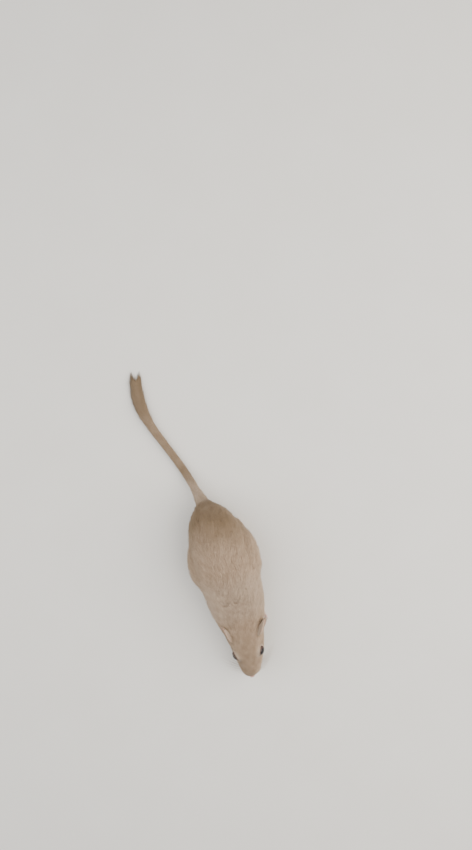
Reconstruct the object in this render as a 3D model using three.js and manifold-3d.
// A life-size gerbil standing low on all four feet, its nose near the ground and its tail laid out behind.
// Millimetres, +Z up. The nose points along -Y and the tail along +Y, and +X is the animal's left side.
// The nose tip is built at y = 0, and the group then moves its box's bottom centre to the origin.
import * as THREE from 'three';
import { mergeVertices } from 'three/addons/utils/BufferGeometryUtils.js';
import Module from 'manifold-3d';

const wasm = await Module();
wasm.setup();

// Driving dimensions
const BODY_LENGTH = 118; // nose tip to the root of the tail
const TRUNK_WIDTH = 38.5; // at the belly, without the haunches
const HIP_HEIGHT = 43; // top of the arched back
const HIP_WIDTH = 45.5; // across both haunches
const TAIL_LENGTH = 92; // flesh of the tail, without the hair past its end
const EYE_RADIUS = 3.5;
const EAR_HEIGHT = 14; // from its sunk root
const EAR_WIDTH = 10.5; // along the curve of its cup
const HIND_FOOT_LENGTH = 31; // heel to claw tips
const FORE_PAW_LENGTH = 11;
const GAP = 0.3; // between neighbouring nodes
const SPECK = 0.02; // edges and steps smaller than this are smoothed away

const SIDES = [['left', 1], ['right', -1]];
const UP = new THREE.Vector3(0, 0, 1);
const FORWARD = new THREE.Vector3(0, -1, 0);
const v = (x, y, z) => new THREE.Vector3(x, y, z);
const radians = THREE.MathUtils.degToRad;
const lerp = THREE.MathUtils.lerp;

const finish = (color, roughness) => new THREE.MeshStandardMaterial({ color, roughness, metalness: 0 });
const FAWN = finish(0xb59c82, 0.9);
const PINK_SKIN = finish(0xd2a394, 0.6);
const PALE_SKIN = finish(0xcfb29f, 0.7);
const TAIL_FAWN = finish(0xb39a7c, 0.9);
const BLACK_EYE = finish(0x0b0807, 0.08);

// Solids

// A closed geometry as a solid that faces out.
function solid(geometry) {
  geometry.deleteAttribute('normal');
  geometry.deleteAttribute('uv');
  const merged = mergeVertices(geometry, 1e-5);
  const vertProperties = new Float32Array(merged.attributes.position.array);
  const triVerts = new Uint32Array(merged.index.array);
  const made = new wasm.Manifold(new wasm.Mesh({ numProp: 3, vertProperties, triVerts }));
  if (made.volume() > 0) return made;
  for (let i = 0; i < triVerts.length; i += 3) {
    [triVerts[i + 1], triVerts[i + 2]] = [triVerts[i + 2], triVerts[i + 1]];
  }
  return new wasm.Manifold(new wasm.Mesh({ numProp: 3, vertProperties, triVerts }));
}

const join = (solids) => solids.reduce((all, one) => all.add(one));

// The part of a solid on the side that normal points to, half a gap short of the plane through point.
function beyond(whole, point, normal) {
  const facing = normal.clone().normalize();
  return whole.trimByPlane(facing.toArray(), facing.dot(point) + GAP / 2);
}

const aboveFloor = (whole) => whole.trimByPlane([0, 0, 1], 0);

// The largest closed surface of a node, without the specks and slivers that joining and cutting leave.
function cleaned(whole) {
  const main = whole.decompose().reduce((a, b) => (b.volume() > a.volume() ? b : a));
  return main.simplify(SPECK);
}

// A closed skin over rings of equally many points, with one point closing each end. From the ring point
// numbered turned on, quads are split the other way, so that a thin sheet's two faces are split alike.
function skinOver(rings, start, end, turned = Infinity) {
  const count = rings[0].length;
  const points = [start, ...rings.flat(), end];
  const index = [];
  const id = (ring, i) => 1 + ring * count + (i % count);
  for (let i = 0; i < count; i += 1) {
    index.push(0, id(0, i + 1), id(0, i));
    index.push(points.length - 1, id(rings.length - 1, i), id(rings.length - 1, i + 1));
    for (let r = 0; r + 1 < rings.length; r += 1) {
      const [a, b, c, d] = [id(r, i), id(r, i + 1), id(r + 1, i + 1), id(r + 1, i)];
      if (i < turned) index.push(a, b, c, a, c, d);
      else index.push(a, b, d, b, c, d);
    }
  }
  const geometry = new THREE.BufferGeometry().setFromPoints(points);
  geometry.setIndex(index);
  return solid(geometry);
}

// A smooth run of rows of values, one row at each place, read at any place between them.
function smoothRun(places, rows) {
  const run = new THREE.CubicInterpolant(places, rows.flat(), rows[0].length);
  return (place) => Array.from(run.evaluate(THREE.MathUtils.clamp(place, places[0], places.at(-1))));
}

const evenly = (count) => Array.from({ length: count }, (_, i) => i / (count - 1));

// A limb along a smooth path: sizes holds [half width, half height] at each point, and its ends are round
// over the share of its length that round gives.
function limb(path, sizes, { sides = 10, steps = 10, round = 0.12, grow = 0 } = {}) {
  const curve = new THREE.CatmullRomCurve3(path);
  const sizeAt = smoothRun(evenly(path.length), sizes);
  const rings = [];
  for (let step = 1; step < steps; step += 1) {
    const t = (1 - Math.cos((Math.PI * step) / steps)) / 2;
    const fromEnd = Math.min(1, Math.min(t, 1 - t) / round);
    const swell = Math.sqrt(1 - (1 - fromEnd) ** 2);
    const [width, height] = sizeAt(t).map((value) => value * swell + grow);
    const along = curve.getTangent(t);
    const side = UP.clone().cross(along).normalize();
    const top = along.clone().cross(side);
    const centre = curve.getPoint(t);
    rings.push(Array.from({ length: sides }, (_, i) => {
      const angle = (2 * Math.PI * i) / sides;
      return centre.clone().addScaledVector(side, width * Math.cos(angle))
        .addScaledVector(top, height * Math.sin(angle));
    }));
  }
  const first = curve.getPoint(0).addScaledVector(curve.getTangent(0), -grow);
  const last = curve.getPoint(1).addScaledVector(curve.getTangent(1), grow);
  return skinOver(rings, first, last);
}

// An ellipsoid of half sizes at a centre, turned by Euler angles in degrees.
function blob(centre, half, { turn = [0, 0, 0], grow = 0, detail = 12 } = {}) {
  const shape = new THREE.SphereGeometry(1, detail, Math.round(detail * 0.65));
  shape.rotateX(Math.PI / 2);
  shape.scale(...half.map((value) => value + grow));
  shape.applyMatrix4(new THREE.Matrix4().makeRotationFromEuler(new THREE.Euler(...turn.map(radians))));
  shape.translate(...centre.toArray());
  return solid(shape);
}

const ball = (centre, radius, detail) => blob(centre, [radius, radius, radius], { detail });

// Trunk

// Along the trunk: share of the body's length behind the nose, half width as a share of half the trunk's
// width, back and belly as shares of the hips' height, and the spine's sideways bend in millimetres.
const STATIONS = [
  [0.00, 0.24, 0.385, 0.205, 0.0],
  [0.04, 0.31, 0.450, 0.170, 0.7],
  [0.08, 0.39, 0.515, 0.146, 1.4],
  [0.13, 0.48, 0.580, 0.128, 2.0],
  [0.18, 0.55, 0.625, 0.120, 2.4],
  [0.23, 0.605, 0.655, 0.114, 2.5],
  [0.29, 0.695, 0.682, 0.110, 2.4],
  [0.36, 0.83, 0.742, 0.113, 2.3],
  [0.44, 0.92, 0.825, 0.115, 2.3],
  [0.55, 0.96, 0.925, 0.110, 2.0],
  [0.66, 0.98, 0.990, 0.104, 1.3],
  [0.77, 0.94, 0.990, 0.104, 0.4],
  [0.86, 0.81, 0.915, 0.125, -0.6],
  [0.93, 0.66, 0.780, 0.165, -1.6],
  [1.00, 0.52, 0.620, 0.205, -2.6],
];
const NOSE_ROUNDING = 0.045; // share of the length over which the muzzle's end rounds off
const RUMP_ROUNDING = 0.11;
const WIDEST_LEVEL = 0.42; // height of the greatest width, from belly to back
const SQUARENESS = 0.9; // 1 is an ellipse, less is squarer

const trunkRun = smoothRun(STATIONS.map(([share]) => share), STATIONS.map((row) => row.slice(1)));

function endSwell(share) {
  const fromNose = Math.min(1, share / NOSE_ROUNDING);
  const fromRump = Math.min(1, (1 - share) / RUMP_ROUNDING);
  return Math.sqrt(1 - (1 - fromNose) ** 2) * Math.sqrt(1 - (1 - fromRump) ** 2);
}

// Half width, heights and bend of the trunk at a distance behind the nose.
function trunkAt(behind) {
  const [width, top, bottom, bend] = trunkRun(behind / BODY_LENGTH);
  return { half: (width * TRUNK_WIDTH) / 2, top: top * HIP_HEIGHT, bottom: bottom * HIP_HEIGHT, bend };
}

const squared = (value) => Math.sign(value) * Math.abs(value) ** SQUARENESS;

function trunkRing(share, grow, sides) {
  const { half, top, bottom, bend } = trunkAt(share * BODY_LENGTH);
  const swell = endSwell(share);
  const middle = lerp(bottom, top, WIDEST_LEVEL);
  return Array.from({ length: sides }, (_, i) => {
    const angle = (2 * Math.PI * i) / sides;
    const tall = Math.cos(angle) > 0 ? top - middle : middle - bottom;
    const x = bend + squared(Math.sin(angle)) * (half * swell + grow);
    const z = middle + squared(Math.cos(angle)) * (tall * swell + grow);
    return v(x, share * BODY_LENGTH, z);
  });
}

// The whole trunk from nose to rump, grown outwards by grow.
function trunk(grow = 0, sides = 28) {
  const shares = [];
  const rounded = (k, steps) => 1 - Math.cos((Math.PI / 2) * (k / steps));
  for (let k = 1; k <= 4; k += 1) shares.push(NOSE_ROUNDING * rounded(k, 4));
  for (let k = 1; k <= 10; k += 1) shares.push(lerp(NOSE_ROUNDING, 0.33, k / 10));
  for (let k = 1; k <= 12; k += 1) shares.push(lerp(0.33, 1 - RUMP_ROUNDING, k / 12));
  for (let k = 5; k >= 1; k -= 1) shares.push(1 - RUMP_ROUNDING * rounded(k, 6));
  const middleOf = (ring) => ring.reduce((sum, p) => sum.add(p), v(0, 0, 0)).divideScalar(ring.length);
  const rings = shares.map((share) => trunkRing(share, grow, sides));
  const nose = middleOf(rings[0]).setY(-grow);
  const rump = middleOf(rings.at(-1)).setY(BODY_LENGTH + grow);
  return skinOver(rings, nose, rump);
}

// A place beside the trunk's bent mid-line: out to the side that sign names, behind the nose, and up.
const beside = (sign, out, behind, up) => v(sign * out + trunkAt(behind).bend, behind, up);

const HEAD_END = BODY_LENGTH * 0.29;
const NECK_END = BODY_LENGTH * 0.41;
const HEAD_SIDE = v(0, -1, 0.25); // the head's back face leans, with its top further back
const NECK_SIDE = v(0, -1, 0.18);
const headBack = v(0, HEAD_END, trunkAt(HEAD_END).top / 2);
const neckBack = v(0, NECK_END, trunkAt(NECK_END).top / 2);

// Head

const NOSE_LEVEL = 13; // height of the nose pad
const LID_THICKNESS = 0.6;
const LID_TILT = 12; // degrees that the eye's front corner lies lower
const GROOVE = 0.45; // width of the mouth's line
const GROOVE_DEPTH = 0.8;
const LIP_LINE = [[-3, 9.7], [2, 9.1], [5.5, 8.5], [9, 8.3]]; // places behind the nose and up

const eyeCentre = (sign) => beside(sign, 6.9, BODY_LENGTH * 0.155, 20.3);
const eyeLook = (sign) => v(sign * 0.84, -0.34, 0.42).normalize();

const whiskerPad = (sign, grow = 0) => blob(beside(sign, 2.8, 5.8, 11.2), [3.5, 4.9, 4.1], { grow });

// The head's full form, before the eyes, mouth and nostrils are cut.
function headForm() {
  const forms = [trunk(), blob(beside(1, 0, 0.9, NOSE_LEVEL), [2.1, 1.7, 1.6])];
  forms.push(blob(beside(1, 0, 8.6, 7.5), [3.1, 5.2, 2.2]));
  for (const [, sign] of SIDES) {
    forms.push(whiskerPad(sign));
    const orbit = eyeCentre(sign).addScaledVector(eyeLook(sign), -1.4);
    forms.push(blob(orbit, [4.4, 5.4, 4.3], { detail: 14 }));
    forms.push(ball(eyeCentre(sign), EYE_RADIUS + LID_THICKNESS, 16));
  }
  return beyond(join(forms), headBack, HEAD_SIDE);
}

// The flared opening between an eye's lids, wider than tall.
function lidOpening(sign) {
  const [from, to] = [0.6, 6.5];
  const cone = new THREE.CylinderGeometry(5.6, 2.7, to - from, 16);
  cone.translate(0, (from + to) / 2, 0);
  cone.rotateX(-Math.PI / 2);
  cone.scale(1.08, 0.88, 1);
  cone.rotateZ(radians(sign * -LID_TILT));
  cone.scale(1, 1, -1);
  cone.applyMatrix4(new THREE.Matrix4().lookAt(eyeLook(sign), v(0, 0, 0), UP));
  cone.translate(...eyeCentre(sign).toArray());
  return solid(cone);
}

// The line of the mouth and the cleft of the lip, as thin blades that reach GROOVE_DEPTH into the muzzle.
function mouthBlades() {
  const line = new THREE.SplineCurve(LIP_LINE.map((p) => new THREE.Vector2(...p)));
  const below = line.getPoints(8);
  const above = below.map((p) => new THREE.Vector2(p.x, p.y + GROOVE)).reverse();
  const blade = new THREE.ExtrudeGeometry(new THREE.Shape([...below, ...above]),
    { depth: 24, bevelEnabled: false });
  blade.translate(0, 0, -12);
  blade.applyMatrix4(new THREE.Matrix4().makeBasis(v(0, 1, 0), v(0, 0, 1), v(1, 0, 0)));
  const cleft = new THREE.BoxGeometry(GROOVE, 6, 3).translate(0, 0, 10.7);
  const core = [trunk(-GROOVE_DEPTH), ...SIDES.map(([, sign]) => whiskerPad(sign, -GROOVE_DEPTH))];
  return solid(blade).add(solid(cleft)).subtract(join(core));
}

const nostrils = () => join(SIDES.map(([, sign]) => blob(v(sign * 1.35, -0.6, NOSE_LEVEL + 0.1),
  [0.5, 0.8, 0.42], { turn: [0, sign * 25, sign * -20], detail: 8 })));

function head() {
  const cuts = [mouthBlades(), nostrils()];
  for (const [, sign] of SIDES) {
    cuts.push(ball(eyeCentre(sign), EYE_RADIUS + GAP, 16));
    cuts.push(lidOpening(sign));
  }
  return headForm().subtract(join(cuts));
}

const eye = (sign) => ball(eyeCentre(sign), EYE_RADIUS, 16);

// Ears

const EAR_STEPS = 10;
const EAR_ACROSS = 7; // points across each face
const EAR_CURL = [1.9, 0.5]; // half angle of the cup in radians, at the root and at the tip

// Half width of the ear along its curve, as a share of its greatest, at a share of its height.
function earOutline(share) {
  const widest = 0.52;
  if (share > widest) return Math.sqrt(1 - ((share - widest) / (1 - widest)) ** 2);
  return lerp(0.62, 1, Math.sin((Math.PI / 2) * (share / widest)));
}

// The way each ear points: both are laid back, and the left one stands further out.
const earTall = (sign) => (sign > 0 ? v(0.62, 0.66, 0.43) : v(-0.3, 0.73, 0.6)).normalize();

// A cupped sheet, curled tightest and thickest at its root, on the side of the crown.
function ear(sign) {
  const root = beside(sign, 7.7, BODY_LENGTH * 0.245, 21.3);
  const tall = earTall(sign);
  const opening = v(sign * 0.8, -0.6, 0.1).projectOnPlane(tall).normalize();
  const across = tall.clone().cross(opening);
  const place = (share, a, face) => {
    const curl = lerp(...EAR_CURL, share ** 0.8);
    const radius = ((EAR_WIDTH / 2) * earOutline(share)) / curl;
    const thick = lerp(1.4, 0.65, share) * Math.sqrt(1 - 0.7 * a * a) * face * 0.5;
    const angle = a * curl;
    return root.clone().addScaledVector(tall, EAR_HEIGHT * share)
      .addScaledVector(across, radius * Math.sin(angle) - thick * Math.sin(angle))
      .addScaledVector(opening, radius * (1 - Math.cos(angle)) + thick * Math.cos(angle) - 1.2);
  };
  const rings = [];
  for (let step = 0; step < EAR_STEPS; step += 1) {
    const share = Math.sin((Math.PI / 2) * (step / (EAR_STEPS - 0.4)));
    const along = evenly(EAR_ACROSS).map((t) => 2 * t - 1);
    const inner = along.map((a) => place(share, a, 1));
    const outer = along.reverse().map((a) => place(share, a, -1));
    rings.push([...inner, ...outer]);
  }
  const whole = skinOver(rings, place(0, 0, 0), place(1, 0, 0), EAR_ACROSS);
  return whole.subtract(trunk(GAP));
}

// Feet

// A toe with its claw, from a knuckle, at a heading in degrees from straight ahead towards +X.
function toe(knuckle, heading, length, thick) {
  const ahead = FORWARD.clone().applyAxisAngle(UP, radians(heading));
  const at = (share, up) => knuckle.clone().addScaledVector(ahead, length * share).setZ(up);
  const pad = limb([at(-0.2, thick), at(0.4, thick * 0.8), at(1, thick * 0.75)],
    [[thick, thick], [thick * 0.85, thick * 0.9], [thick * 0.85, thick * 0.85]],
    { sides: 6, steps: 5, round: 0.3 });
  const claw = limb([at(0.9, thick * 1.15), at(1.2, thick * 0.95), at(1.42, thick * 0.35)],
    [[0.5, 0.55], [0.36, 0.42], [0.2, 0.2]], { sides: 5, steps: 4, round: 0.2 });
  return pad.add(claw);
}

// A hind foot flat on the ground from heel to toes, with the outer and inner toes set back.
function hindFoot(sign, { grow = 0, toes = true } = {}) {
  const heel = beside(sign, 13, BODY_LENGTH * 0.845, 0);
  const heading = sign * 6;
  const ahead = FORWARD.clone().applyAxisAngle(UP, radians(heading));
  const at = (distance, up, aside = 0) => heel.clone().addScaledVector(ahead, distance).add(v(aside, 0, up));
  const sole = limb([at(-1.5, 2.6), at(3, 2.2), at(10, 1.9), at(HIND_FOOT_LENGTH * 0.62, 1.4)],
    [[2.3, 2.6], [2.2, 2.3], [2.5, 2.0], [3.2, 1.5]], { sides: 12, steps: 10, grow });
  if (!toes) return aboveFloor(sole);
  const digits = [-1, 0, 1].map((k) => toe(at(HIND_FOOT_LENGTH * 0.6, 0, k * 2),
    heading + k * 8, 8.4 - Math.abs(k) * 0.5, 1.15));
  digits.push(toe(at(HIND_FOOT_LENGTH * 0.46, 0, sign * 3), heading + sign * 18, 5.4, 1));
  digits.push(toe(at(HIND_FOOT_LENGTH * 0.42, 0, sign * -3), heading - sign * 20, 4, 0.9));
  return aboveFloor(join([sole, ...digits]));
}

// A forepaw with four spread fingers, from the wrist.
function forePaw(sign) {
  const heading = sign * 4;
  const ahead = FORWARD.clone().applyAxisAngle(UP, radians(heading));
  const at = (distance, up, aside = 0) => wrist(sign).addScaledVector(ahead, distance)
    .add(v(aside, 0, 0)).setZ(up);
  const palm = limb([at(-1.2, 3.6), at(1.8, 2), at(FORE_PAW_LENGTH * 0.5, 1.1)],
    [[1.8, 2], [2.2, 2.1], [2.5, 1.5]], { sides: 10, steps: 8 });
  const digits = [-1.5, -0.5, 0.5, 1.5].map((k) => {
    const knuckle = at(FORE_PAW_LENGTH * 0.46 - Math.abs(k) * 0.7, 0, k * 1.35);
    return toe(knuckle, heading + k * 11, 4.4 - Math.abs(k) * 0.4, 0.85);
  });
  return aboveFloor(join([palm, ...digits]));
}

// Legs

const shoulder = (sign) => beside(sign, 7, 44, 15.5);
const elbow = (sign) => beside(sign, 14.4, 52.5, 9.4);
const wrist = (sign) => beside(sign, 11.4, 39.5, 3.9);
const wristPoint = (sign) => wrist(sign).add(v(0, 0.9, 0.5));
const WRIST_SIDE = v(0, 1, 0.35); // points back up the forearm

function foreLimb(sign) {
  const upperArm = limb([shoulder(sign), elbow(sign).add(v(0, 1.5, 0))], [[4, 4.5], [4, 4.6]],
    { sides: 12, steps: 8, round: 0.3 });
  const middle = elbow(sign).lerp(wrist(sign), 0.5).add(v(sign * 0.6, 0, -0.4));
  const forearm = limb([elbow(sign).add(v(0, 2.6, 0.4)), middle, wrist(sign)],
    [[3.7, 4.2], [2.8, 3], [1.9, 1.9]], { sides: 12, steps: 10, round: 0.2 });
  return beyond(upperArm.add(forearm), wristPoint(sign), WRIST_SIDE).subtract(trunk(GAP));
}

function hindLimb(sign) {
  const reach = HIP_WIDTH / 2;
  const thigh = blob(beside(sign, reach - 9.2, BODY_LENGTH * 0.69, 18.8), [9.2, 18, 14.8],
    { turn: [-14, 0, sign * 6], detail: 22 });
  const knee = blob(beside(sign, reach - 6.6, BODY_LENGTH * 0.6, 12.4), [5.2, 7.6, 7],
    { turn: [30, 0, 0], detail: 14 });
  const line = [beside(sign, 17.6, 73, 10), beside(sign, 16.4, 86, 7.8), beside(sign, 13.4, 100.5, 5.8)];
  const shank = limb(line, [[4.2, 5.5], [3.4, 4.2], [2.6, 3]], { sides: 12, steps: 10 });
  const whole = aboveFloor(join([thigh, knee, shank]));
  return whole.subtract(trunk(GAP)).subtract(hindFoot(sign, { grow: GAP * 1.4, toes: false }));
}

// Tail

// Headings of the tail at equal steps along it, in degrees from straight back towards the right side.
const TAIL_HEADINGS = [17, 20.5, 22, 23.5, 23.5, 17, 4, -10];
const TAIL_DROP = 0.36; // share of the length in which the tail comes down to the floor
const TAIL_ROOT_LEVEL = 14.5;
const TAIL_POINTS = 24;
const BRUSH_START = 0.62; // share of the tail where its longer hair begins

// The flesh thins faster inside the brush, which the hair fills out.
function tailRadius(share) {
  const inBrush = Math.max(0, (share - BRUSH_START) / (1 - BRUSH_START));
  return (3.2 - 0.8 * share ** 0.7) * (1 - 0.35 * inBrush ** 2);
}

// The line of the tail from inside the rump to the end of its flesh, low enough for a flat underside.
function tailLine() {
  const heading = smoothRun(evenly(TAIL_HEADINGS.length), TAIL_HEADINGS.map((angle) => [angle]));
  const place = v(-3.6, BODY_LENGTH - 4, 0);
  const points = evenly(TAIL_POINTS).map((share) => {
    const fall = Math.min(1, share / TAIL_DROP);
    const raised = 0.5 + 0.5 * Math.cos(Math.PI * fall ** 0.7);
    const here = place.clone().setZ(lerp(tailRadius(share) - GAP, TAIL_ROOT_LEVEL, raised));
    const angle = radians(heading(share)[0]);
    place.add(v(-Math.sin(angle), Math.cos(angle), 0).multiplyScalar(TAIL_LENGTH / (TAIL_POINTS - 1)));
    return here;
  });
  return new THREE.CatmullRomCurve3(points);
}
const TAIL = tailLine();

function tailFlesh() {
  const shares = evenly(TAIL_POINTS);
  const sizes = shares.map((share) => Array(2).fill(tailRadius(share)));
  return limb(shares.map((share) => TAIL.getPointAt(share)), sizes, { sides: 12, steps: 34, round: 0.02 });
}

// The same random numbers on every run.
function seeded(seed) {
  let state = seed;
  return () => {
    state = (state * 1664525 + 1013904223) % 4294967296;
    return state / 4294967296;
  };
}

const BRUSH_ROWS = 9;
const LOCKS_IN_ROW = 4;
const LOCK_LENGTH = 11.5;
const LAST_LOCK_LENGTH = 12.5; // of the two strands in which the brush ends
const STRAND_START = 0.72; // share of the tail where the strands begin to part
const STRAND_SPREAD = 2.5; // how far each strand lies from the tail's line at its end
const LOCK_WIDTH = 2.6;
const LOCK_THICKNESS = 1;
const LOCK_SPREAD = [-22, 202]; // degrees round the tail, from its one side over its top to the other

// The tail's centre at a length along it as a share, which runs straight on past its end.
function tailPlace(share) {
  const inside = Math.min(share, 1);
  const along = TAIL.getTangentAt(inside);
  const centre = TAIL.getPointAt(inside).addScaledVector(along, (share - inside) * TAIL_LENGTH);
  const side = UP.clone().cross(along).normalize();
  return { centre, along, side, top: along.clone().cross(side), radius: tailRadius(inside) };
}

// A flat tapered lock, rooted in the flesh, that lies back along its strand with its tip lifted a little.
function brushLock(root, degrees, length, lift) {
  const angle = radians(degrees);
  const rings = [0, 0.3, 0.65, 0.9, 1].map((s) => {
    const { centre, along, side, top, radius } = tailPlace(root + (s * length) / TAIL_LENGTH);
    const parted = Math.min(1, Math.max(0, (root + (s * length) / TAIL_LENGTH - STRAND_START) / 0.22));
    centre.addScaledVector(side, STRAND_SPREAD * parted * Math.cos(angle) * Math.min(1, s * 1.6));
    const out = side.multiplyScalar(Math.cos(angle)).addScaledVector(top, Math.sin(angle));
    centre.addScaledVector(out, radius * lerp(0.55, 0.95, Math.min(1, s * 2)) + lift * s * s);
    const [wide, thick] = [LOCK_WIDTH, LOCK_THICKNESS].map((size) => size * 0.5 * (1.05 - 0.7 * s ** 3));
    centre.z = Math.max(centre.z, thick);
    const across = along.clone().cross(out);
    return [0, 1, 2, 3].map((k) => centre.clone().addScaledVector(across, wide * Math.cos((k * Math.PI) / 2))
      .addScaledVector(out, thick * Math.sin((k * Math.PI) / 2)));
  });
  const middle = (ring) => ring.reduce((sum, p) => sum.add(p), v(0, 0, 0)).divideScalar(ring.length);
  return skinOver(rings.slice(0, -1), middle(rings[0]), middle(rings.at(-1)));
}

// The brush of longer hair: rows of locks that overlap, and part into two strands at the end.
function brush() {
  const random = seeded(11);
  const locks = [];
  evenly(BRUSH_ROWS).forEach((rowShare, row) => {
    const root = lerp(BRUSH_START + 0.015, 0.965, rowShare);
    for (let k = 0; k < LOCKS_IN_ROW; k += 1) {
      const place = (k + 0.25 + 0.5 * (row % 2) + 0.25 * (random() - 0.5)) / LOCKS_IN_ROW;
      const degrees = lerp(...LOCK_SPREAD, place);
      const aside = Math.abs(Math.cos(radians(degrees)));
      const last = lerp(LOCK_LENGTH * 0.55, LAST_LOCK_LENGTH, aside);
      const length = lerp(LOCK_LENGTH * 0.8, last, rowShare ** 2) * (1 + 0.12 * random());
      locks.push(brushLock(root, degrees, length, 0.3 + 0.7 * random()));
    }
  });
  return join(locks);
}

// Nodes

const gerbil = new THREE.Group();

function addNode(name, shape, material) {
  const { vertProperties, triVerts } = cleaned(shape).getMesh();
  const geometry = new THREE.BufferGeometry();
  geometry.setAttribute('position', new THREE.Float32BufferAttribute(vertProperties, 3));
  geometry.setIndex(new THREE.Uint32BufferAttribute(triVerts, 1));
  geometry.computeVertexNormals();
  const mesh = new THREE.Mesh(geometry, material);
  mesh.name = name;
  gerbil.add(mesh);
}

const wholeTrunk = trunk();
const behindHead = beyond(wholeTrunk, headBack, HEAD_SIDE.clone().negate());
addNode('head', head(), FAWN);
addNode('neck', beyond(behindHead, neckBack, NECK_SIDE), FAWN);
addNode('torso', beyond(wholeTrunk, neckBack, NECK_SIDE.clone().negate()), FAWN);
for (const [side, sign] of SIDES) {
  addNode(`eye_${side}`, eye(sign), BLACK_EYE);
  addNode(`ear_${side}`, ear(sign), PINK_SKIN);
  addNode(`foreleg_${side}`, foreLimb(sign), FAWN);
  const paw = beyond(forePaw(sign), wristPoint(sign), WRIST_SIDE.clone().negate());
  addNode(`forepaw_${side}`, paw, PALE_SKIN);
  addNode(`hindleg_${side}`, hindLimb(sign), FAWN);
  addNode(`hindfoot_${side}`, hindFoot(sign), PALE_SKIN);
}

const wholeTail = aboveFloor(tailFlesh()).subtract(trunk(GAP));
const tailCut = (share) => [TAIL.getPointAt(share), TAIL.getTangentAt(share)];
const firstCut = tailCut(0.34);
const secondCut = tailCut(BRUSH_START);
const before = (whole, [point, along]) => beyond(whole, point, along.clone().negate());
addNode('tail_base', before(wholeTail, firstCut), TAIL_FAWN);
addNode('tail_middle', before(beyond(wholeTail, ...firstCut), secondCut), TAIL_FAWN);
addNode('tail_tip', beyond(aboveFloor(tailFlesh().add(brush())), ...secondCut), TAIL_FAWN);

const box = new THREE.Box3().setFromObject(gerbil);
gerbil.position.set(-(box.min.x + box.max.x) / 2, -(box.min.y + box.max.y) / 2, -box.min.z);

export default gerbil;
